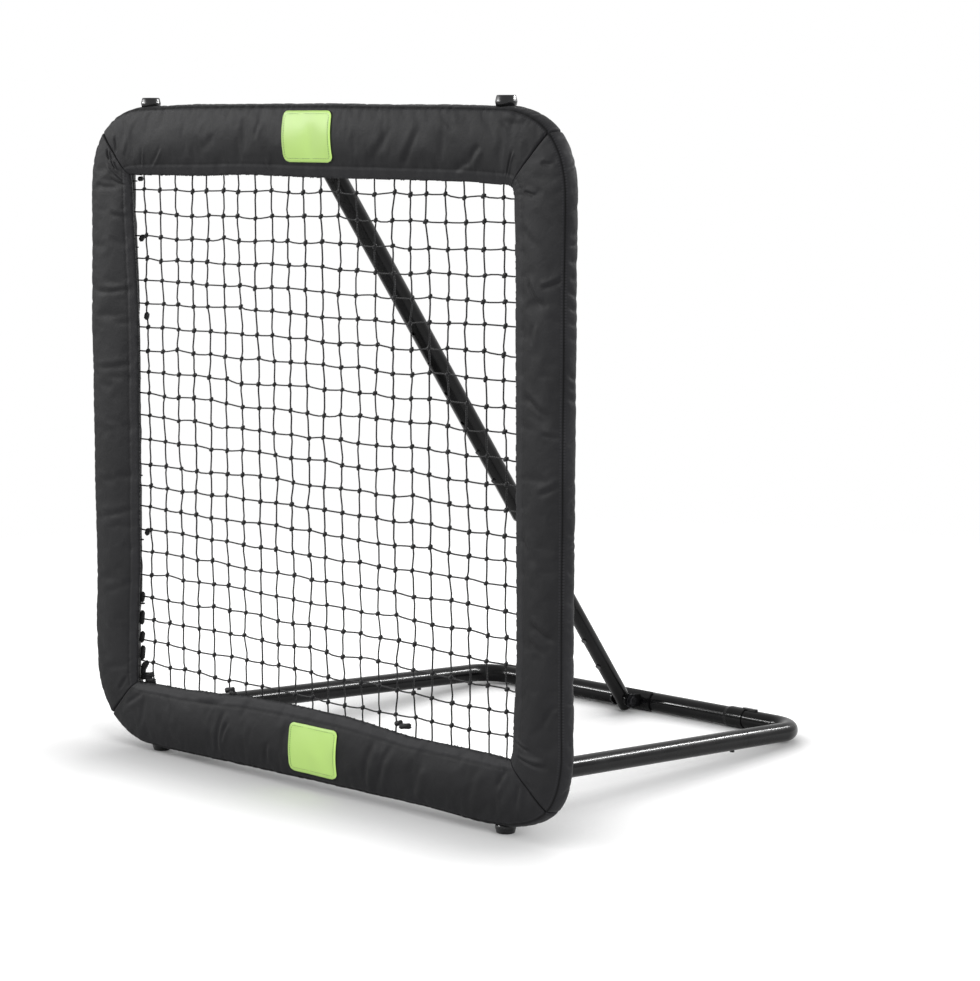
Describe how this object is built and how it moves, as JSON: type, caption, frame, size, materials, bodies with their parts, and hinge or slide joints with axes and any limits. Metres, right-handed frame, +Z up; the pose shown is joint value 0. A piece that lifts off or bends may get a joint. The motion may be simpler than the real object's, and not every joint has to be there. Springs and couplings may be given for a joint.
{
  "type": "pitch back rebounder",
  "caption": "Upright padded square steel frame with a knotted black net, hinged to a folding tube base and held by one telescopic rear strut.",
  "frame": {"origin": "on the ground, under the middle of the bounding box of the upright rebounder", "axes": "+X along the width, to the right of someone who faces the net; -Y the side that the ball comes from, +Y towards the base's rear tube; +Z up"},
  "size_m": [1.24, 0.9725, 1.264],
  "materials": {
    "black_steel": "gloss",
    "zinc": "satin",
    "foam": "matte",
    "cover_cloth": "matte",
    "label_cloth": "matte",
    "net_cord": "matte",
    "black_plastic": "satin"
  },
  "bodies": {
    "frame": {"top_tube": "black_steel", "right_tube": "black_steel", "bottom_tube": "black_steel", "left_tube": "black_steel", "top_right_corner": "black_steel", "bottom_right_corner": "black_steel", "bottom_left_corner": "black_steel", "top_left_corner": "black_steel", "frame_screws": "zinc", "foam_top": "foam", "foam_right": "foam", "foam_bottom": "foam", "foam_left": "foam", "cover_top": "cover_cloth", "cover_right": "cover_cloth", "cover_bottom": "cover_cloth", "cover_left": "cover_cloth", "label_top": "label_cloth", "label_bottom": "label_cloth", "net": "net_cord", "net_hooks": "zinc", "foot_top_left": "black_plastic", "foot_top_right": "black_plastic", "foot_bottom_left": "black_plastic", "foot_bottom_right": "black_plastic", "foot_screws": "zinc", "left_hinge_bracket": "black_steel", "right_hinge_bracket": "black_steel", "strut_top_bracket": "black_steel", "frame_rivets": "zinc", "pivot_bolts": "zinc", "pivot_nuts": "zinc", "pivot_washers": "zinc"},
    "base": {"base_left_tube": "black_steel", "base_right_tube": "black_steel", "base_left_corner": "black_steel", "base_right_corner": "black_steel", "rear_tube": "black_steel", "base_end_caps": "black_plastic", "strut_low_bracket": "black_steel", "base_rivets": "zinc"},
    "rear_left_latch": {"rear_left_clip": "black_plastic"},
    "rear_right_latch": {"rear_right_clip": "black_plastic"},
    "side_left_latch": {"side_left_button": "black_plastic"},
    "side_right_latch": {"side_right_button": "black_plastic"},
    "strut_outer": {"strut_outer_tube": "black_steel", "strut_top_cap": "black_plastic", "strut_bush": "black_plastic"},
    "strut_inner": {"strut_inner_tube": "black_steel", "strut_guide": "black_plastic", "strut_end_cap": "black_plastic", "strut_low_bolt": "zinc", "strut_low_nut": "zinc", "strut_low_washers": "zinc", "strut_hole_plugs": "black_plastic"},
    "strut_upper_snap": {"strut_upper_button": "black_plastic"},
    "strut_lower_snap": {"strut_lower_button": "black_plastic"}
  },
  "joints": [
    {"name": "base_fold", "type": "hinge", "parent": "frame", "child": "base", "pos_m": [0, -0.40375, 0.083], "axis": [1, 0, 0], "range_deg": [0, 24.97]},
    {"name": "strut_swing", "type": "hinge", "parent": "frame", "child": "strut_outer", "pos_m": [0, -0.42175, 1.143], "axis": [1, 0, 0], "range_deg": [0, 8.9]},
    {"name": "strut_slide", "type": "slide", "parent": "strut_outer", "child": "strut_inner", "axis": [0, 0.6009, -0.7993], "range_m": [-0.3, 0], "deforming": ["strut_upper_button", "strut_lower_button"]},
    {"name": "rear_left_press", "type": "slide", "parent": "base", "child": "rear_left_latch", "axis": [0, 0.0712, 0.9975], "range_m": [-0.0036, 0], "stiffness_N_per_m": 800, "springref_m": 0.004},
    {"name": "rear_right_press", "type": "slide", "parent": "base", "child": "rear_right_latch", "axis": [0, 0.0712, 0.9975], "range_m": [-0.0036, 0], "stiffness_N_per_m": 800, "springref_m": 0.004},
    {"name": "side_left_press", "type": "slide", "parent": "base", "child": "side_left_latch", "axis": [0, -0.0712, -0.9975], "range_m": [-0.0055, 0], "stiffness_N_per_m": 800, "springref_m": 0.004},
    {"name": "side_right_press", "type": "slide", "parent": "base", "child": "side_right_latch", "axis": [0, -0.0712, -0.9975], "range_m": [-0.0055, 0], "stiffness_N_per_m": 800, "springref_m": 0.004},
    {"name": "strut_upper_press", "type": "slide", "parent": "strut_inner", "child": "strut_upper_snap", "axis": [0, -0.7993, -0.6009], "range_m": [-0.0065, 0], "stiffness_N_per_m": 800, "springref_m": 0.004},
    {"name": "strut_lower_press", "type": "slide", "parent": "strut_inner", "child": "strut_lower_snap", "axis": [0, -0.7993, -0.6009], "range_m": [-0.0065, 0], "stiffness_N_per_m": 800, "springref_m": 0.004}
  ],
  "couplings": [
    {"joint": "strut_swing", "follows": "base_fold", "ratio": 0.35506},
    {"joint": "strut_slide", "follows": "base_fold", "m_per_rad": -0.6883}
  ]
}
